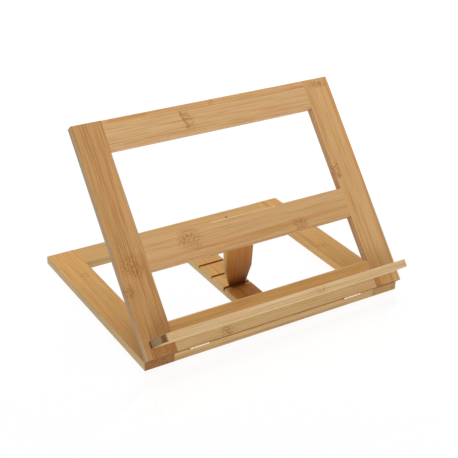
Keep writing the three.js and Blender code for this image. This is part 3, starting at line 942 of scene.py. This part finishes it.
def screwTree():
    tree = bpy.data.node_groups.new("crossHeadScrews", "GeometryNodeTree")
    face = tree.interface
    face.new_socket("points", in_out="INPUT", socket_type="NodeSocketGeometry")
    for name, value in screwForm.items():
        face.new_socket(name, in_out="INPUT", socket_type="NodeSocketFloat").default_value = value
    face.new_socket("finish", in_out="INPUT", socket_type="NodeSocketMaterial")
    face.new_socket("screws", in_out="OUTPUT", socket_type="NodeSocketGeometry")
    node = Wire(tree).node
    given = {wire.socket.name: wire for wire in node("NodeGroupInput", output=None)}
    head, shank, sink, length, slot = (given[name] for name in screwForm)

    def cone(bottom, top, depth):
        return node("GeometryNodeMeshCone", None, {
            "Vertices": screwShape["sides"], "Radius Top": top, "Radius Bottom": bottom, "Depth": depth})

    def raised(shape, z):
        offset = combined(0.0, 0.0, z)
        return node("GeometryNodeTransform", None, {"Geometry": shape, "Translation": offset})

    # the head narrows to the shank, and the shank ends in a point
    shankLength = length * screwShape["shankShare"]
    rod = raised(cone(shank, shank, shankLength), sink)
    tip = cone(shank, shank * screwShape["tipShare"], length - shankLength - sink)
    tip = raised(tip, sink + shankLength)
    # a cross recess, cut into the head by two crossed blocks
    slotLength = head * screwShape["slotLength"]
    slotDepth = sink * screwShape["slotDepth"]
    blocks = [
        node("GeometryNodeMeshCube", None, {"Size": combined(x, y, slotDepth)})
        for x, y in ((slot, slotLength), (slotLength, slot))]
    cross = node("GeometryNodeMeshBoolean", {"operation": "DIFFERENCE"}, {
        "Mesh 1": cone(head, shank, sink), "Mesh 2": blocks})
    whole = node("GeometryNodeJoinGeometry", None, {"Geometry": [cross, rod, tip]})
    # one screw at each point, along its facing, with its cross turned at random
    facing = node("GeometryNodeInputNamedAttribute", {"data_type": "FLOAT_VECTOR"}, {"Name": "facing"})
    aligned = node("FunctionNodeAlignRotationToVector", {"axis": "Z"}, {"Vector": facing})
    spin = node("FunctionNodeRandomValue", {"data_type": "FLOAT"}, {
        "Min": 0.0, "Max": math.pi, "Seed": screwShape["seed"]}, output="Value")
    turn = node("FunctionNodeAxisAngleToRotation", None, {"Axis": (0, 0, 1), "Angle": spin})
    spun = node("FunctionNodeRotateRotation", {"rotation_space": "LOCAL"}, {
        "Rotation": aligned, "Rotate By": turn})
    placed = node("GeometryNodeInstanceOnPoints", None, {
        "Points": given["points"], "Instance": whole, "Rotation": spun})
    real = node("GeometryNodeRealizeInstances", None, {"Geometry": placed})
    finished = node("GeometryNodeSetMaterial", None, {"Geometry": real, "Material": given["finish"]})
    node("NodeGroupOutput", None, {"screws": finished}, output=None)
    return tree


def setScrews(name, tree, spots, form, body, nodes):
    # spots are (point, direction that the screw points in)
    data = bpy.data.meshes.new(name)
    data.from_pydata([point for point, _ in spots], [], [])
    facing = data.attributes.new("facing", "FLOAT_VECTOR", "POINT")
    for index, (_, direction) in enumerate(spots):
        facing.data[index].vector = direction
    holder = linked(name, data)
    step = holder.modifiers.new("screws", "NODES")
    step.node_group = tree
    keys = {item.name: item.identifier for item in tree.interface.items_tree if item.in_out == "INPUT"}
    for size, value in form.items():
        step[keys[size]] = value
    step[keys["finish"]] = metal["screw"]
    settled(holder)
    finishPiece(holder, metal["screw"], body, nodes, screwShape["sharp"])


def makeScrews():
    tree = screwTree()
    spots = dict(base=[], panel=[], leg=[])
    nodes = dict(base=[], panel=[], leg=[])
    for leaf in hingeLeaves():
        direction = (leaf["place"].to_3x3() @ Vector((0, 0, leaf["points"]))).normalized()
        for index, spot in enumerate(leafSpots(leaf)):
            spots[leaf["body"]].append((leaf["place"] @ Vector(spot), direction))
            nodes[leaf["body"]].append(f"{leaf['name']}_screw_{index + 1}")
    for body in spots:
        setScrews(f"{body}_hinge_screws", tree, spots[body], screwForm, body, nodes[body])
    direction = (panelPlace.to_3x3() @ Vector((0, 0, 1))).normalized()
    longSpots = [(panelPlace @ Vector(spot), direction) for spot in ledgeScrewSpots()]
    names = [f"ledge_screw_{k}" for k in (1, 2, 3)]
    setScrews("ledge_screws", tree, longSpots, ledgeScrews["form"], "panel", names)
    print("screws: fifteen, from one tree")


# Dowels stay as the CAD has them, hidden in the joints. Their bamboo is that of a board of a metre
# each way, so that no end or side shows on them.
dowel = dict(
    size=(1.0, 1.0, 1.0), grain="x", stripShift=0.5, seed=301.0, tone=tone(222, 190, 146), sideLightShare=0.0)


def finishDowels():
    raw = bambooBoard("bamboo_dowel", Matrix.Identity(4), (0, 0, 0), dowel["size"], dowel)
    for name, node in frame["nodes"].items():
        if "_dowel_" in name:
            node.data.materials.clear()
            node.data.materials.append(raw)
    print("dowels: raw bamboo")


# Studio: a pale floor that glows a little, a soft sky and two large soft lights
studio = dict(
    floor=14.0, floorDrop=0.05 * mm, floorTone=(0.06, 0.06, 0.06), floorRoughness=0.08,
    glow=(0.922, 0.924, 0.926), farGlow=(1.05, 1.05, 1.05), glowSpan=(0.3, 1.2), sky=0.45,
    lights=dict(
        overhead=dict(at=(0.1, 0.3, 1.5), aim=(0, 0, 0), size=1.2, power=9.5),
        front=dict(at=(-0.4, -1.7, 0.32), aim=(0, 0, 0.08), size=0.9, power=6.5)))


def makeFloor():
    mesh = bmesh.new()
    bmesh.ops.create_grid(mesh, x_segments=1, y_segments=1, size=studio["floor"])
    floor = asObject("floor", mesh, Matrix.Translation((0, 0, -studio["floorDrop"])))
    material, shader, start = newMaterial("paleFloor")
    distance = start.node("ShaderNodeVectorMath", {"operation": "LENGTH"}, {0: start}, output="Value")
    glow = blended(distance.fade(*studio["glowSpan"]), studio["glow"], studio["farGlow"])
    setInputs(shader, {
        "Base Color": (*studio["floorTone"], 1), "Roughness": studio["floorRoughness"],
        "Emission Color": glow, "Emission Strength": 1.0})
    floor.data.materials.append(material)


def makeLights():
    world = bpy.data.worlds.new("softSky")
    world.use_nodes = True
    setInputs(world.node_tree.nodes["Background"], {"Color": (1, 1, 1, 1), "Strength": studio["sky"]})
    bpy.context.scene.world = world
    for name, look in studio["lights"].items():
        data = bpy.data.lights.new(name, "AREA")
        data.shape = "DISK"
        data.size = look["size"]
        data.energy = look["power"]
        lamp = linked(name, data)
        lamp.location = look["at"]
        aim = Vector(look["aim"]) - lamp.location
        lamp.rotation_euler = aim.to_track_quat("-Z", "Y").to_euler()
    bpy.context.scene.view_settings.view_transform = "Standard"
    print("studio: floor, sky and two lights")


# Camera: the photograph's own viewing angle, in degrees, from a point in the base frame's place
view = dict(
    azimuth=-32.38, elevation=28.04, roll=1.60, lens=81.63, sensor=36.0,
    at=(-577.33 * mm, -800.37 * mm, 648.74 * mm))


def makeCamera():
    turn, rise, roll = (math.radians(view[key]) for key in ("azimuth", "elevation", "roll"))
    back = Vector((math.sin(turn) * math.cos(rise), -math.cos(turn) * math.cos(rise), math.sin(rise)))
    right = (-back).cross(Vector((0, 0, 1))).normalized()
    up = right.cross(-back)
    across = math.cos(roll) * right + math.sin(roll) * up
    upright = math.cos(roll) * up - math.sin(roll) * right
    data = bpy.data.cameras.new("camera")
    data.lens = view["lens"]
    data.sensor_width = view["sensor"]
    camera = linked("camera", data)
    turned = Matrix((across, upright, back)).transposed().to_4x4()
    camera.matrix_world = Matrix.Translation(basePlace @ Vector(view["at"])) @ turned
    bpy.context.scene.camera = camera
    print("camera: the photograph's angle")


metal = dict(
    leaf=nickelPlate("nickel_leaf"), pin=nickelPlate("nickel_pin", roughness=nickel["pinRoughness"]),
    screw=nickelPlate("nickel_screw", nickel["screwBrush"]))
makeCamera()
makeFloor()
makeLights()
makeBase()
makePanel()
makeLedge()
makeLeg()
makeHinges()
makeScrews()
finishDowels()

print("book stand ready")
